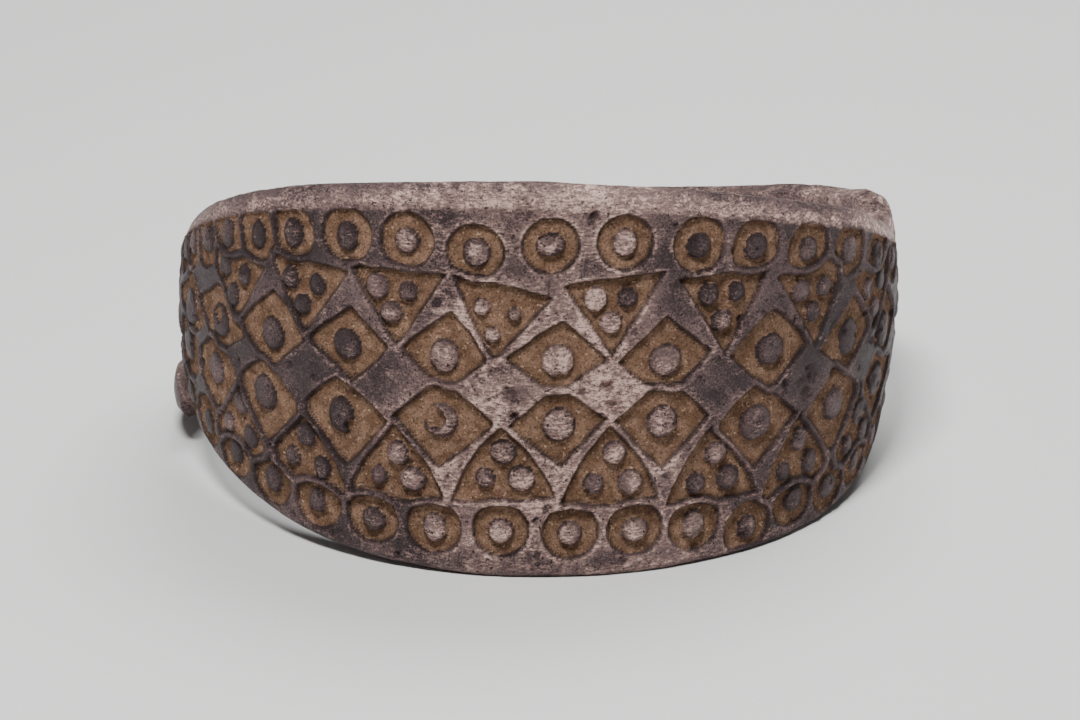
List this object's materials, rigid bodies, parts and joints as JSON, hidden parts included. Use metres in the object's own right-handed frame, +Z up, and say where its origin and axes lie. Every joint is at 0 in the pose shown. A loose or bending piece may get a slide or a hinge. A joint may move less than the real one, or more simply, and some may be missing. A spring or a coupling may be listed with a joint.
{
  "type": "silver arm ring",
  "caption": "Heavy open silver arm ring: a broad band punched with rings, triangles and lozenges in front, tapering to a flat tongue and to a rod that ends in a drop.",
  "frame": {"origin": "middle of the footprint, on the surface the ring lies on", "axes": "+Z up out of that surface, -Y towards the viewer of the broad decorated front, +X to that viewer's right"},
  "size_m": [0.072, 0.0714, 0.0361],
  "materials": {
    "silver": "old tarnished silver, worn bright on the high places, with brown soil in the punched hollows"
  },
  "bodies": {
    "root": {"arm_ring": "silver"}
  },
  "joints": []
}
